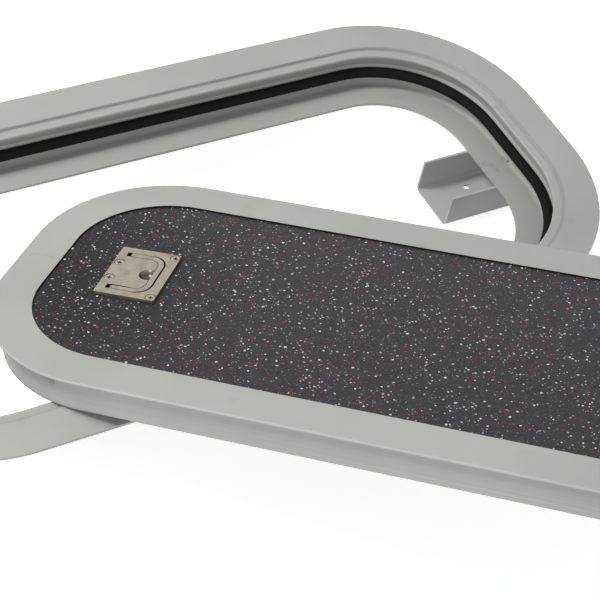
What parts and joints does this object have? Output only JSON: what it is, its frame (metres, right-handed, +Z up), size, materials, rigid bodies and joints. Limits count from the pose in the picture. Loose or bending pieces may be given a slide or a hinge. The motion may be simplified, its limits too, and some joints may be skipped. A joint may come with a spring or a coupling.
{
  "type": "engine access hatch",
  "caption": "Long round-cornered metal deck hatch: flanged frame with shelf, seal and channel bracket, and a mat-topped lift-out lid with flush handle laid across it.",
  "frame": {"origin": "centre of the frame's opening, in the plane of the deck that the underside of its flange lies on", "axes": "+Z up out of the deck, +X along the frame towards the end with the bracket, +Y across the frame, away from the side the lid hangs over"},
  "size_m": [0.821, 0.7692, 0.2544],
  "materials": {
    "frame_paint": "light grey satin paint",
    "seal_rubber": "matt black sponge rubber",
    "bracket_paint": "light grey satin paint",
    "lid_paint": "light grey satin paint",
    "lid_plate_paint": "light grey satin paint",
    "mat_rubber": "dark rubber with light and red flecks",
    "handle_metal": "satin cast metal",
    "pin_steel": "bright steel pin",
    "fastener_steel": "bright steel screw"
  },
  "bodies": {
    "hatch": {"frame_ring": "frame_paint", "frame_seal": "seal_rubber", "frame_bracket": "bracket_paint", "lid_rim": "lid_paint", "lid_plate": "lid_plate_paint", "lid_mat": "mat_rubber", "lid_rib_1": "lid_plate_paint", "lid_rib_2": "lid_plate_paint", "handle_base": "handle_metal", "handle_pivot_pin_1": "pin_steel", "handle_pivot_pin_2": "pin_steel", "handle_screw_1": "fastener_steel", "handle_screw_2": "fastener_steel", "handle_screw_3": "fastener_steel", "handle_screw_4": "fastener_steel", "handle_washer_1": "fastener_steel", "handle_washer_2": "fastener_steel", "handle_washer_3": "fastener_steel", "handle_washer_4": "fastener_steel", "handle_nut_1": "fastener_steel", "handle_nut_2": "fastener_steel", "handle_nut_3": "fastener_steel", "handle_nut_4": "fastener_steel"},
    "bail": {"handle_bail": "handle_metal"}
  },
  "joints": [
    {"name": "bail_pivot", "type": "hinge", "parent": "hatch", "child": "bail", "pos_m": [-0.10584, -0.05047, 0.01129], "axis": [-0.723, -0.6688, 0.1734], "range_deg": [0, 90]}
  ]
}
